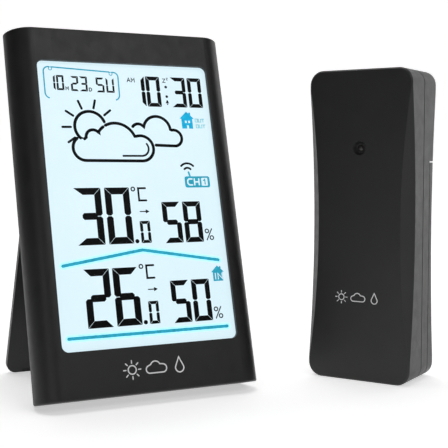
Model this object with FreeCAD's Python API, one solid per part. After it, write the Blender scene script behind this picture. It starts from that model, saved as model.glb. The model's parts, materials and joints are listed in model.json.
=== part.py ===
"""Home weather station: a leaning display console with a fold-out stand, and its free-standing outdoor sensor.

Lengths are in millimetres. The console is drawn upright, with x to the right, y from its face to its back and
z up its face, and then leaned back onto the table. The sensor is drawn upright in the same way, and then turned
and set down beside the console. Every node is one STEP file in parts/.
"""

import FreeCAD
import Part
import math
import os

from FreeCAD import Placement, Rotation, Vector

# ---------------------------------------------------------------- console: case
CASE_H = 145.0  # height along the face
CASE_HALF = 46.0  # half width at the parting line
CASE_T = 22.2  # depth from face to back
FACE_HALF = 36.5  # half width of the flat part of the face
REAR_HALF = 42.6  # half width of the back, before its corners are rounded
REAR_ROUND = 1.5
PART_Y = 10.0  # depth of the parting line between bezel and rear cover
WALL = 1.8
FACE_WALL = 1.5
CAVITY_FLAT_HALF = 36.0
EDGE_R = 0.6
SEAM_W = 0.5  # width and depth of the shadow gap round a case's parting line
SEAM_DEPTH = 0.6
LEAN = 15.37  # degrees that the console leans back
HEEL_Y = 17.6  # depth at which the bottom meets the table
BEZIER = 0.5523  # handle length of a quarter ellipse, as a share of its radius

WINDOW_HALF = 36.2
WINDOW_Z0 = 17.8
WINDOW_Z1 = 131.6
WINDOW_R = 2.6
LENS_HALF = 38.2
LENS_MARGIN = 2.0
LENS_T = 0.8

# ---------------------------------------------------------------- console: stand
HINGE_Y = 19.8
HINGE_Z = 128.5
LEG_L = 126.0
LEG_T = 2.6
LEG_TOP_HALF = 31.0
LEG_FOOT_HALF = 39.0
LEG_CORNER = 4.0
BARREL_R = 2.3
POCKET_Y = 19.3  # depth of the pocket that the folded leg lies in
POCKET_GAP = 0.4
STOP_GAP = 0.15
HINGE_PIN_R = 1.0
PIN_PLAY = 0.05
HINGE_PIN_L = 11.0
PAD_HALF = 5.0
PAD_X = 27.0
PAD_DEPTH = 1.6

# ---------------------------------------------------------------- console: display stack, depths from the face
LCD_Y = (2.35, 4.15)
GUIDE_Y = (4.2, 6.0)
FRAME_Y = (2.4, 6.3)
LCD_HALF = 37.5
LCD_Z = (16.0, 133.4)
FRAME_HALF = 38.9
FRAME_Z = (14.3, 135.1)
BOARD_Y = (7.0, 8.0)

# ---------------------------------------------------------------- console: batteries, screws, buttons
AAA_R = 5.25
AAA_L = 44.5
AAA_Z = (19.5, 31.5, 43.5)
AAA_Y = 12.55
TRAY_HALF = 24.65
TRAY_Z = (13.2, 49.8)
TRAY_Y = 7.2
COVER_HALF = 27.0
COVER_Z = (10.6, 52.4)
COVER_Y = 17.9
COVER_GAP = 0.2
CASE_SCREWS = [(-38.0, 139.0), (38.0, 139.0), (-33.5, 10.0), (33.5, 10.0)]
BOARD_SCREWS = [(-41.2, 66.0), (41.2, 66.0), (-41.2, 128.0), (41.2, 128.0)]
BUTTON_Z = 138.5
BUTTONS = {
    "mode_button": -28.5,
    "alarm_button": -20.5,
    "channel_button": -12.5,
    "up_button": 12.5,
    "down_button": 20.5,
    "wave_button": 28.5,
}
BUTTON_W = 6.0
BUTTON_H = 3.6
BUTTON_PROUD = 0.5
BUTTON_PLAY = 0.25
KEYHOLE_Z = 137.8
KEYHOLE_R = 3.4
KEYHOLE_SLOT_R = 1.7
KEYHOLE_RISE = 3.8
SNOOZE_HALF = 13.5
SNOOZE_Y = (11.5, 16.9)

# ---------------------------------------------------------------- outdoor sensor
SENSOR_W = 46.0
SENSOR_H = 130.0
SENSOR_T = 27.0
SENSOR_CORNER = 6.0
SENSOR_WALL = 1.8
SENSOR_PART_Y = 13.2
DOOR_Y = 20.3
DOOR_TOP = 92.0
DOOR_GAP = 0.45
FACET_HALF_SPAN = 61.0
FRONT_FACET = (4.6, 4.8)  # how far the front facet cuts in across the face and down the side, at mid height
REAR_FACET = (3.6, 3.7)
FACE_CHAMFER = 0.6
LED_Z = 97.4
LED_RECESS_R = 2.9
LED_R = 1.45
AA_R = 7.25
AA_L = 50.5
AA_X = 7.6
AA_Y = 17.95
AA_Z0 = 15.0
BAY_HALF = 15.4
BAY_Z = (10.0, 90.0)
BAY_Y = 10.3
BAY_WALL = 1.0
BATTERY_STOP_Z = 66.6
SENSOR_KEYHOLE_Z = 110.0
SENSOR_SCREWS = [(-17.5, 122.0), (17.5, 122.0), (-17.5, 6.3), (17.5, 6.3)]
SENSOR_BOARD_Y = (5.4, 6.6)
SWITCH_X = -7.5
TX_X = 7.5
CONTROL_Z = 79.0

# ---------------------------------------------------------------- where the sensor stands
SENSOR_AT = (89.6, -0.8)  # bottom centre of its face, from the bottom centre of the console's face
SENSOR_TURN = -58.62  # degrees about the vertical


# ---------------------------------------------------------------- helpers
def box(x0, x1, y0, y1, z0, z1):
    return Part.makeBox(x1 - x0, y1 - y0, z1 - z0, Vector(x0, y0, z0))


def cylinder(r, length, at, along):
    return Part.makeCylinder(r, length, Vector(*at), Vector(*along))


def rod_y(x, z, r, y0, y1):
    return cylinder(r, y1 - y0, (x, y0, z), (0, 1, 0))


def rod_x(y, z, r, x0, x1):
    return cylinder(r, x1 - x0, (x0, y, z), (1, 0, 0))


def rod_z(x, y, r, z0, z1):
    return cylinder(r, z1 - z0, (x, y, z0), (0, 0, 1))


def prism(points, along):
    """A flat closed outline, pushed along a vector."""
    corners = [Vector(*p) for p in points]
    return Part.Face(Part.makePolygon(corners + corners[:1])).extrude(Vector(*along))


def rounded_slab(x0, x1, z0, z1, r, y0, y1):
    """A slab facing y, with its four corners rounded."""
    slab = box(x0, x1, y0, y1, z0, z1)
    edges = [e for e in slab.Edges if abs(e.tangentAt(e.FirstParameter).y) > 0.99]
    return slab.makeFillet(r, edges)


def rounded_bar(x0, x1, y0, y1, r, z0, z1):
    """A slab facing z, with its four corners rounded."""
    bar = box(x0, x1, y0, y1, z0, z1)
    edges = [e for e in bar.Edges if abs(e.tangentAt(e.FirstParameter).z) > 0.99]
    return bar.makeFillet(r, edges)


def joined(shapes):
    whole = shapes[0].multiFuse(shapes[1:]) if len(shapes) > 1 else shapes[0]
    return whole.removeSplitter()


def group(shapes):
    return Part.makeCompound(shapes)


def mirrored(shape):
    return shape.mirror(Vector(0, 0, 0), Vector(1, 0, 0))


def pan_screw(x, z, head_y, head_r, shank_r, length, slot=0.5):
    """A cross-head screw driven along -y. head_y is the underside of its head."""
    head = rod_y(x, z, head_r, head_y, head_y + 0.7 * head_r)
    top = head_y + 0.7 * head_r
    for w, h in ((head_r, slot / 2), (slot / 2, head_r)):
        head = head.cut(box(x - 0.6 * w, x + 0.6 * w, top - 0.6, top + 1, z - 0.6 * h, z + 0.6 * h))
    return joined([head, rod_y(x, z, shank_r, head_y - length, head_y)])


def chip(x0, x1, z0, z1, height, base_y):
    return box(x0, x1, base_y, base_y + height, z0, z1)


# ---------------------------------------------------------------- placing the two units
HEEL_RISE = HEEL_Y * math.sin(math.radians(LEAN))
CONSOLE_LEAN = Placement(Vector(0, 0, HEEL_RISE), Rotation(Vector(1, 0, 0), -LEAN))
SENSOR_STAND = Placement(Vector(*SENSOR_AT, 0), Rotation(Vector(0, 0, 1), SENSOR_TURN))


def leg_open_angle():
    """Degrees that the leg swings out from its pocket until its lower inner edge meets the table."""
    axis_z = CONSOLE_LEAN.multVec(Vector(0, HINGE_Y, HINGE_Z)).z
    inner = HINGE_Y - (HINGE_Y + BARREL_R - LEG_T)
    reach = math.hypot(LEG_L, inner)
    return LEAN + math.degrees(math.atan2(inner, LEG_L) + math.acos(axis_z / reach))


LEG_OPEN = leg_open_angle()
HINGE_AT = Vector(0, HINGE_Y, HINGE_Z)
LEG_SWING = Placement(Vector(0, 0, 0), Rotation(Vector(1, 0, 0), LEG_OPEN), HINGE_AT)


# ---------------------------------------------------------------- console: case
def case_plan(front_y, flat_half, side_half, rear_half, rear_y, rear_round):
    """The case seen from above: a flat face, sides that roll back to the parting line, then draw in behind it."""
    dx, dy = side_half - flat_half, PART_Y - front_y
    slope = (side_half - rear_half) / (rear_y - PART_Y)
    turn_y = rear_y - rear_round
    turn_x = rear_half + slope * rear_round

    def side(s):
        roll = Part.BezierCurve()
        roll.setPoles(
            [
                Vector(s * flat_half, front_y, 0),
                Vector(s * (flat_half + BEZIER * dx), front_y, 0),
                Vector(s * side_half, PART_Y - BEZIER * dy, 0),
                Vector(s * side_half, PART_Y, 0),
            ]
        )
        corner = Part.BezierCurve()
        corner.setPoles(
            [
                Vector(s * turn_x, turn_y, 0),
                Vector(s * rear_half, rear_y, 0),
                Vector(s * (rear_half - rear_round), rear_y, 0),
            ]
        )
        taper = Part.LineSegment(Vector(s * side_half, PART_Y, 0), Vector(s * turn_x, turn_y, 0))
        return [roll, taper, corner]

    face = Part.LineSegment(Vector(-flat_half, front_y, 0), Vector(flat_half, front_y, 0))
    back_half = rear_half - rear_round
    back = Part.LineSegment(Vector(-back_half, rear_y, 0), Vector(back_half, rear_y, 0))
    edges = [c.toShape() for c in [face, *side(1), back, *side(-1)]]
    return Part.Face(Part.Wire(Part.__sortEdges__(edges)))


def case_block():
    """The outside of the case as one solid, with its top and bottom edges eased."""
    plan = case_plan(0, FACE_HALF, CASE_HALF, REAR_HALF, CASE_T, REAR_ROUND)
    block = plan.extrude(Vector(0, 0, CASE_H))
    ends = [e for e in block.Edges if abs(e.CenterOfMass.z - CASE_H) < 1e-6 or abs(e.CenterOfMass.z) < 1e-6]
    return block.makeFillet(EDGE_R, ends)


def case_cavity():
    plan = case_plan(WALL, CAVITY_FLAT_HALF, CASE_HALF - WALL, REAR_HALF - WALL, POCKET_Y - WALL, REAR_ROUND)
    return plan.extrude(Vector(0, 0, CASE_H - 2 * WALL)).translated(Vector(0, 0, WALL))


def case_seam():
    """The shadow gap cut round the case behind the parting line."""
    d = SEAM_DEPTH
    plan = case_plan(d, FACE_HALF, CASE_HALF - d, REAR_HALF - d, CASE_T - d, REAR_ROUND)
    core = plan.extrude(Vector(0, 0, CASE_H - 2 * d)).translated(Vector(0, 0, d))
    return box(-60, 60, PART_Y, PART_Y + SEAM_W, -5, CASE_H + 5).cut(core)


def screw_post(x, z, r, y0, y1, hole_r):
    return rod_y(x, z, r, y0, y1), rod_y(x, z, hole_r, y0 + 1.0, y1 + 1.0)


def front_bezel():
    shell = case_block().common(box(-60, 60, -5, PART_Y, -5, CASE_H + 5))
    shell = shell.cut(case_cavity())
    posts, holes = [], []
    for x, z in CASE_SCREWS:
        post, hole = screw_post(x, z, 2.4, FACE_WALL - 0.3, 13.0, 1.15)
        posts.append(post)
        holes.append(hole)
    for x, z in BOARD_SCREWS:
        post, hole = screw_post(x, z, 1.7, 3.0, BOARD_Y[0], 0.85)
        posts.append(post.common(case_block()))
        holes.append(hole)
    body = joined([shell, *posts])
    lens = lens_outline(0.1, FACE_WALL, LCD_Y[0])
    window = rounded_slab(-WINDOW_HALF, WINDOW_HALF, WINDOW_Z0, WINDOW_Z1, WINDOW_R, -2, 4)
    return body.cut(group([lens, window, *holes]))


def lens_outline(play, y0, y1):
    z0, z1 = WINDOW_Z0 - LENS_MARGIN - play, WINDOW_Z1 + LENS_MARGIN + play
    return rounded_slab(-LENS_HALF - play, LENS_HALF + play, z0, z1, WINDOW_R, y0, y1)


def display_window():
    return lens_outline(0, FACE_WALL, FACE_WALL + LENS_T)


def lcd_panel():
    """The liquid crystal cell: two glass plates, the rear one shorter so that its contact ledge shows at the top."""
    split = (LCD_Y[0] + LCD_Y[1]) / 2
    front = box(-LCD_HALF, LCD_HALF, LCD_Y[0], split, LCD_Z[0], LCD_Z[1])
    rear = box(-LCD_HALF, LCD_HALF, split, LCD_Y[1], LCD_Z[0], LCD_Z[1] - 3.6)
    return joined([front, rear])


def light_guide():
    """The backlight plate, with rows of shallow dots on its back that scatter the light forward."""
    plate = box(-LCD_HALF, LCD_HALF, *GUIDE_Y, 19.0, 129.0)
    columns, rows, r = 6, 9, 1.2
    dots = []
    for i in range(columns):
        for j in range(rows):
            x = -LCD_HALF + (i + 0.5) * 2 * LCD_HALF / columns
            z = 19.0 + (j + 0.5) * 110.0 / rows
            dots.append(rod_y(x, z, r, GUIDE_Y[1] - 0.3, GUIDE_Y[1] + 1))
    return plate.cut(group(dots))


def backlight_leds():
    leds = []
    for x in (-24.0, 0.0, 24.0):
        body = box(x - 2.2, x + 2.2, GUIDE_Y[0] + 0.1, GUIDE_Y[1] - 0.1, 16.3, 18.5)
        leds.append(joined([body, box(x - 1.7, x + 1.7, 4.5, 5.7, 18.5, 18.9)]))
    return group(leds)


def backlight_strip():
    return box(-34.0, 34.0, GUIDE_Y[1] - 0.1, FRAME_Y[1], 16.1, 18.9)


def lcd_frame():
    outer = rounded_slab(-FRAME_HALF, FRAME_HALF, *FRAME_Z, 2.0, *FRAME_Y)
    inner = box(-LCD_HALF - 0.1, LCD_HALF + 0.1, 0, 10, LCD_Z[0] - 0.1, LCD_Z[1] + 0.1)
    return outer.cut(inner)


def zebra_strip():
    """The striped rubber connector between the panel's ledge and the board."""
    return box(-35.0, 35.0, (LCD_Y[0] + LCD_Y[1]) / 2, BOARD_Y[0], 130.1, 133.0)


def main_board():
    board = joined([box(-43.0, 43.0, *BOARD_Y, 58.0, 134.0), box(-34.0, 34.0, *BOARD_Y, 134.0, 142.0)])
    holes = [rod_y(x, z, 1.0, 0, 20) for x, z in BOARD_SCREWS]
    corners = [rod_y(x, z, 2.7, 0, 20) for x, z in CASE_SCREWS[:2]]
    return board.cut(group(holes + corners))


def board_chips():
    """The potted processor, the crystal and the small parts that stand on the board."""
    y = BOARD_Y[1]
    potted = Part.makeSphere(9.0, Vector(-4, y - 7.2, 96)).common(box(-20, 20, y, y + 5, 80, 112))
    parts = [potted, rod_x(y + 1.0, 112.0, 1.0, -18.0, -12.0)]
    for i in range(6):
        x = -30.0 + 5.5 * i
        parts.append(chip(x, x + 2.4, 72.0, 73.4, 0.8, y))
        parts.append(chip(x, x + 2.4, 77.0, 78.4, 0.8, y))
    parts.append(rod_y(26.0, 66.0, 2.5, y, y + 6.0))
    return group(parts)


def radio_module():
    y = BOARD_Y[1]
    return joined([chip(-38.0, -24.0, 84.0, 104.0, 1.0, y), chip(-35.5, -27.0, 88.0, 98.0, 2.6, y)])


def radio_antenna():
    """A quarter-wave wire that stands up from the radio board along the left side."""
    y, r = 12.0, 0.5
    foot = rod_y(-37.0, 102.0, r, 9.0, y)
    return joined([foot, Part.makeSphere(r, Vector(-37.0, y, 102.0)), rod_z(-37.0, y, r, 102.0, 133.0)])


def buzzer():
    y = BOARD_Y[1]
    can = rod_y(20.0, 96.0, 6.5, y, y + 4.5)
    return can.cut(rod_y(20.0, 96.0, 1.2, y + 3.5, y + 5.0))


def climate_element():
    """The indoor temperature and humidity element, close behind the vents."""
    y = BOARD_Y[1]
    body = chip(-24.0, -16.0, 118.0, 124.0, 3.2, y)
    slots = [box(-23.0 + 2.2 * i, -22.0 + 2.2 * i, y + 2.4, y + 4, 119.0, 123.0) for i in range(4)]
    return body.cut(group(slots))


def button_switches():
    """One push switch behind each rear button. Its well takes the tip of the button's stem."""
    y = BOARD_Y[1]
    switches = []
    for x in BUTTONS.values():
        body = chip(x - 2.5, x + 2.5, BUTTON_Z - 2.5, BUTTON_Z + 2.5, 3.4, y)
        switches.append(body.cut(rod_y(x, BUTTON_Z, 1.3, y + 1.4, y + 5)))
    return group(switches)


def snooze_switch():
    body = box(-3.0, 3.0, BOARD_Y[1], 13.2, 135.2, 139.8)
    return body.cut(rod_z(0, 11.9 + 0.1, 0.9, 138.0, 141.0))


def rear_button(x):
    """A cap, the flange that keeps it in the cover, and the stem that works its switch."""
    y1 = CASE_T + BUTTON_PROUD
    w, h = BUTTON_W / 2, BUTTON_H / 2
    cap = rounded_slab(x - w, x + w, BUTTON_Z - h, BUTTON_Z + h, 1.2, 19.0, y1)
    rim = [e for e in cap.Edges if abs(e.CenterOfMass.y - y1) < 1e-6]
    cap = cap.makeFillet(0.3, rim)
    flange = box(x - 3.4, x + 3.4, 18.0, 19.2, BUTTON_Z - 2.3, BUTTON_Z + 2.3)
    stem = rod_y(x, BUTTON_Z, 1.0, BOARD_Y[1] + 3.0, 18.2)
    return joined([cap, flange, stem])


def snooze_button():
    """The bar on top of the case. Its stem reaches the switch on the board."""
    top = CASE_H + 0.5
    bar = rounded_bar(-SNOOZE_HALF, SNOOZE_HALF, *SNOOZE_Y, 1.8, CASE_H - 2.4, top)
    rim = [e for e in bar.Edges if abs(e.CenterOfMass.z - top) < 1e-6]
    bar = bar.makeFillet(0.35, rim)
    flange = box(-SNOOZE_HALF - 0.8, SNOOZE_HALF + 0.8, SNOOZE_Y[0] - 0.7, SNOOZE_Y[1] + 0.7, 141.5, 142.7)
    stem = rod_z(0, 12.0, 0.7, 139.5, 141.6)
    return joined([bar, flange, stem])


def keyhole(z, r, slot_r, rise, y0, y1):
    """A round entry for a screw head, and above it the narrow slot that hangs on the screw."""
    slot = box(-slot_r, slot_r, y0, y1, z, z + rise)
    return joined([rod_y(0, z, r, y0, y1), slot, rod_y(0, z + rise, slot_r, y0, y1)])


def leg_outline(grow, z_low, y0, y1):
    """The leg's trapezium, from its lower end up to the hinge axis."""
    z_end = HINGE_Z - LEG_L
    slope = (LEG_FOOT_HALF - LEG_TOP_HALF) / LEG_L
    low_half = LEG_FOOT_HALF + slope * (z_end - z_low) + grow
    top_half = LEG_TOP_HALF + grow
    corners = [(-low_half, y0, z_low), (low_half, y0, z_low), (top_half, y0, HINGE_Z), (-top_half, y0, HINGE_Z)]
    return prism(corners, (0, y1 - y0, 0))


def leg_pocket():
    """The space for the folded leg, its hinge barrel, and the sloped wall that stops it when open."""
    gap = POCKET_GAP
    half = LEG_TOP_HALF + gap
    out_y = CASE_T + 1
    flat = leg_outline(gap, HINGE_Z - LEG_L - gap, POCKET_Y, out_y)
    barrel = rod_x(HINGE_Y, HINGE_Z, BARREL_R + 0.3, -half, half)
    turn = math.radians(LEG_OPEN)
    reach = BARREL_R + STOP_GAP
    rise = [(reach + math.sin(turn) * dy) / math.cos(turn) for dy in (0, out_y - HINGE_Y)]
    stop = prism(
        [
            (-half, HINGE_Y, HINGE_Z - 1),
            (-half, HINGE_Y, HINGE_Z + rise[0]),
            (-half, out_y, HINGE_Z + rise[1]),
            (-half, out_y, HINGE_Z - 1),
        ],
        (2 * half, 0, 0),
    )
    return [flat, barrel, stop]


def table_cutter():
    """Everything below the table, seen from the upright console."""
    below = box(-80, 80, -80, 80, -40, 0)
    below.Placement = CONSOLE_LEAN.inverse()
    return below


def rear_cover():
    skin = case_block().common(box(-60, 60, PART_Y, 40, -5, CASE_H + 5))
    skin = skin.cut(case_cavity())
    thick_top = box(-39.5, 39.5, POCKET_Y - WALL - 0.1, CASE_T - WALL, 133.6, CASE_H - WALL)
    skin = skin.cut(thick_top).cut(case_seam())
    hinge_rib = box(-36.5, 36.5, 15.4, 18.2, HINGE_Z - 4.0, HINGE_Z + 4.4)
    tray = box(-TRAY_HALF - 1.2, TRAY_HALF + 1.2, TRAY_Y - 0.8, POCKET_Y - 1, TRAY_Z[0] - 1.3, TRAY_Z[1] + 1.3)
    rails = box(-31.0, 31.0, 16.2, POCKET_Y, 0.7, 55.4)
    posts = []
    for (x, z), top in zip(CASE_SCREWS, (CASE_T, CASE_T, POCKET_Y, POCKET_Y)):
        posts.append(rod_y(x, z, 3.2, 13.0, top - 0.5).common(case_block()))
    body = joined([skin, hinge_rib, tray, rails, *posts])
    cuts = [table_cutter(), *leg_pocket()]
    cuts.append(box(-TRAY_HALF, TRAY_HALF, TRAY_Y, 30, *TRAY_Z))
    cuts.append(cover_outline(COVER_GAP, COVER_Y - 0.1, 30))
    cuts.append(box(-12.0, 12.0, POCKET_Y, 30, -5, 4))
    for x in BUTTONS.values():
        w, h = BUTTON_W / 2 + BUTTON_PLAY, BUTTON_H / 2 + BUTTON_PLAY
        cuts.append(rounded_slab(x - w, x + w, BUTTON_Z - h, BUTTON_Z + h, 1.4, 17, 30))
    cuts.append(keyhole(KEYHOLE_Z, KEYHOLE_R, KEYHOLE_SLOT_R, KEYHOLE_RISE, 17, 30))
    play = BUTTON_PLAY
    cuts.append(
        rounded_bar(-SNOOZE_HALF - play, SNOOZE_HALF + play, SNOOZE_Y[0] - play, SNOOZE_Y[1] + play, 2.0, 140, 150)
    )
    for (x, z), top in zip(CASE_SCREWS, (CASE_T, CASE_T, POCKET_Y, POCKET_Y)):
        cuts.append(rod_y(x, z, 1.3, 10, 30))
        cuts.append(rod_y(x, z, 2.4, top - 3.0, 30))
    for side in (-1, 1):
        cuts.append(rod_x(HINGE_Y, HINGE_Z, HINGE_PIN_R, *sorted((side * 29.0, side * 36.2))))
    for i in range(6):
        z = 112.0 + 2.4 * i
        cuts.append(rounded_slab(-26.0, -14.0, z, z + 1.1, 0.5, 14, 25))
    for i in range(7):
        turn = math.radians(60 * i)
        r = 0.0 if i == 6 else 2.6
        cuts.append(rod_y(20.0 + r * math.cos(turn), 96.0 + r * math.sin(turn), 0.65, 14, 25))
    body = body.cut(group(cuts))
    ribs = [box(-TRAY_HALF, TRAY_HALF, TRAY_Y - 0.2, 9.0, z - 0.4, z + 0.4) for z in (25.5, 37.5)]
    return joined([body, *ribs])


def cover_outline(gap, y0, y1):
    return rounded_slab(-COVER_HALF - gap, COVER_HALF + gap, COVER_Z[0] - gap, COVER_Z[1] + gap, 1.5, y0, y1)


def battery_cover():
    """The lift-off cover: a plate, two ribs that drop into the tray, and a ridged snap tongue at its top."""
    plate = cover_outline(0, COVER_Y, POCKET_Y)
    ribs = [box(-20.0, 20.0, 16.8, COVER_Y + 0.2, z, z + 0.6) for z in (TRAY_Z[0] + 0.2, TRAY_Z[1] - 0.8)]
    slits = [box(x - 0.35, x + 0.35, COVER_Y - 0.1, POCKET_Y + 1, 43.0, 55.0) for x in (-7.0, 7.0)]
    grip = [box(-5.5, 5.5, POCKET_Y - 0.5, POCKET_Y + 1, z, z + 0.8) for z in (45.0, 46.8, 48.6, 50.4)]
    return joined([plate, *ribs]).cut(group([*slits, *grip]))


def battery_cell(x0, x1, y, z, r, nub_end):
    """A dry cell lying along x: sleeve, raised cap and flat base."""
    nub, nub_r = 1.0, 0.36 * r
    if nub_end > 0:
        return joined([rod_x(y, z, r, x0, x1 - nub), rod_x(y, z, nub_r, x1 - nub - 0.2, x1)])
    return joined([rod_x(y, z, r, x0 + nub, x1), rod_x(y, z, nub_r, x0, x0 + nub + 0.2)])


def console_battery(i):
    """Cells alternate end for end. Each has its spring at its flat base."""
    sign = 1 if i % 2 == 0 else -1
    flat_x, cap_x = -sign * (TRAY_HALF - 4.2), sign * (TRAY_HALF - 0.6)
    return battery_cell(min(flat_x, cap_x), max(flat_x, cap_x), AAA_Y, AAA_Z[i], AAA_R, sign)


def coil_x(x0, step, y, z, radii, wire):
    """A closed-up conical coil spring along x, one ring for each turn."""
    rings = [Part.makeTorus(r, wire, Vector(x0 + step * i, y, z), Vector(1, 0, 0)) for i, r in enumerate(radii)]
    return joined(rings)


def battery_springs():
    springs = []
    for i, z in enumerate(AAA_Z):
        side = -1 if i % 2 == 0 else 1
        plate_x = side * TRAY_HALF
        plate = box(*sorted((plate_x, plate_x - side * 0.4)), AAA_Y - 4.2, AAA_Y + 4.0, z - 4.2, z + 4.2)
        coil = coil_x(plate_x - side * 0.7, -side * 0.75, AAA_Y, z, (3.6, 3.3, 3.0, 2.7, 2.4), 0.42)
        springs.append(joined([plate, coil]))
    return group(springs)


def battery_contacts():
    plates = []
    for i, z in enumerate(AAA_Z):
        side = 1 if i % 2 == 0 else -1
        x = side * TRAY_HALF
        plate = box(*sorted((x, x - side * 0.3)), AAA_Y - 4.2, AAA_Y + 4.0, z - 4.2, z + 4.2)
        dimple = rod_x(AAA_Y, z, 2.2, *sorted((x - side * 0.2, x - side * 0.55)))
        plates.append(joined([plate, dimple]))
    return group(plates)


def case_screws():
    screws = []
    for (x, z), top in zip(CASE_SCREWS, (CASE_T, CASE_T, POCKET_Y, POCKET_Y)):
        screws.append(pan_screw(x, z, top - 3.0, 2.1, 1.1, 12.0))
    return group(screws)


def board_screws():
    return group([pan_screw(x, z, BOARD_Y[1], 1.6, 0.8, 4.0, 0.4) for x, z in BOARD_SCREWS])


def folded_leg():
    """The leg as it lies in its pocket: a plate, the hinge barrel, and a square heel that meets the stop."""
    y0, y1 = HINGE_Y + BARREL_R - LEG_T, HINGE_Y + BARREL_R
    z_end = HINGE_Z - LEG_L
    plate = leg_outline(0, z_end, y0, y1)
    ends = [e for e in plate.Edges if abs(e.tangentAt(e.FirstParameter).y) > 0.99 and e.CenterOfMass.z < z_end + 1]
    plate = plate.makeFillet(LEG_CORNER, ends)
    heel = box(-LEG_TOP_HALF, LEG_TOP_HALF, HINGE_Y - 0.3, y1, HINGE_Z - 1, HINGE_Z + BARREL_R)
    barrel = rod_x(HINGE_Y, HINGE_Z, BARREL_R, -LEG_TOP_HALF, LEG_TOP_HALF)
    thumb = rod_y(0, z_end - 8.0, 11.0, 0, 40)
    body = joined([plate, heel, barrel]).cut(thumb)
    bores = [rod_x(HINGE_Y, HINGE_Z, HINGE_PIN_R + PIN_PLAY, *sorted((s * 24.8, s * 32.0))) for s in (-1, 1)]
    seats = [pad_seat(s, 0, y0, y1) for s in (-1, 1)]
    return body.cut(group(bores + seats))


def pad_seat(side, shrink, y0, y1):
    z_end = HINGE_Z - LEG_L
    x = side * PAD_X
    bottom = z_end - 1 if shrink == 0 else z_end
    return box(x - PAD_HALF + shrink, x + PAD_HALF - shrink, y0 - 1, y1 - 0.8, bottom, z_end + PAD_DEPTH)


def stand_leg():
    leg = folded_leg()
    leg.Placement = LEG_SWING.multiply(leg.Placement)
    return leg


def leg_pads():
    """Two rubber pads let into the lower edge of the leg."""
    y0, y1 = HINGE_Y + BARREL_R - LEG_T, HINGE_Y + BARREL_R
    slab = box(-60, 60, y0, y1, 0, 20)
    pads = group([pad_seat(s, 0.05, y0, y1).common(slab) for s in (-1, 1)])
    pads.Placement = LEG_SWING.multiply(pads.Placement)
    return pads


def hinge_pin(side):
    inner = LEG_TOP_HALF - 6.0
    pin = rod_x(HINGE_Y, HINGE_Z, HINGE_PIN_R, *sorted((side * inner, side * (inner + HINGE_PIN_L))))
    ends = [e for e in pin.Edges if e.Curve.TypeId == "Part::GeomCircle"]
    return pin.makeChamfer(0.2, ends)


# ---------------------------------------------------------------- outdoor sensor
def edge_cutter(side, cuts, front):
    """A very large cylinder that shaves one long edge, most at mid height and nothing at the ends."""
    across, down = cuts
    x, y = side * SENSOR_W / 2, (0 if front else SENSOR_T)
    into = 1 if front else -1
    run = math.hypot(across, down)
    along = Vector(side * across / run, into * down / run, 0)
    outward = Vector(side * down / run, -into * across / run, 0)
    depth = across * down / run
    radius = (FACET_HALF_SPAN**2 + depth**2) / (2 * depth)
    centre = Vector(x, y, SENSOR_H / 2) + outward * (radius - depth)
    return Part.makeCylinder(radius, 40, centre - along * 20, along)


def sensor_block():
    block = rounded_slab(-SENSOR_W / 2, SENSOR_W / 2, 0, SENSOR_H, SENSOR_CORNER, 0, SENSOR_T)
    rims = [e for e in block.Edges if abs(e.CenterOfMass.y) < 1e-6 or abs(e.CenterOfMass.y - SENSOR_T) < 1e-6]
    block = block.makeChamfer(FACE_CHAMFER, rims)
    for side in (-1, 1):
        block = block.cut(edge_cutter(side, FRONT_FACET, True))
        block = block.cut(edge_cutter(side, REAR_FACET, False))
    return block


def sensor_core(w):
    """The sensor's outside drawn in by w all round, facets included."""
    hollow = rounded_slab(
        -SENSOR_W / 2 + w, SENSOR_W / 2 - w, w, SENSOR_H - w, SENSOR_CORNER - w, w, SENSOR_T - w
    )
    inset = 0.72 * w
    for side in (-1, 1):
        for cuts, front in ((FRONT_FACET, True), (REAR_FACET, False)):
            cutter = edge_cutter(side, cuts, front)
            cutter.translate(Vector(-side * inset, inset if front else -inset, 0))
            hollow = hollow.cut(cutter)
    return hollow


def sensor_seam():
    """The shadow gap cut round the sensor behind its parting line."""
    y0 = SENSOR_PART_Y
    return box(-40, 40, y0, y0 + SEAM_W, -5, SENSOR_H + 5).cut(sensor_core(SEAM_DEPTH))


def sensor_front_cover():
    cavity = sensor_core(SENSOR_WALL)
    shell = sensor_block().common(box(-40, 40, -5, SENSOR_PART_Y, -5, SENSOR_H + 5)).cut(cavity)
    posts, holes = [], []
    for x, z in SENSOR_SCREWS:
        post, hole = screw_post(x, z, 2.2, SENSOR_WALL - 0.2, SENSOR_PART_Y - 0.1, 1.05)
        posts.append(post.common(sensor_block()))
        holes.append(hole)
    for x, z in ((-14.0, 100.0), (14.0, 100.0)):
        post, hole = screw_post(x, z, 1.8, SENSOR_WALL - 0.2, SENSOR_BOARD_Y[0], 0.85)
        posts.append(post)
        holes.append(hole)
    eye = rod_y(0, LED_Z, 4.2, SENSOR_WALL - 0.2, 3.2)
    body = joined([shell, *posts, eye])
    recess = Part.makeCone(LED_RECESS_R, LED_R + 0.6, 1.7, Vector(0, -0.01, LED_Z), Vector(0, 1, 0))
    return body.cut(group([recess, rod_y(0, LED_Z, LED_R + 0.02, 0.5, 5.0), *holes]))


def sensor_led_lens():
    stem = rod_y(0, LED_Z, LED_R, 1.7, 4.4)
    dome = Part.makeSphere(1.8, Vector(0, 2.75, LED_Z)).common(rod_y(0, LED_Z, LED_R, 0.8, 2.4))
    return joined([stem, dome])


def sensor_board():
    board = rounded_slab(-17.0, 17.0, 14.0, 118.0, 1.5, *SENSOR_BOARD_Y)
    return board.cut(group([rod_y(x, 100.0, 0.95, 0, 20) for x in (-14.0, 14.0)]))


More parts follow.
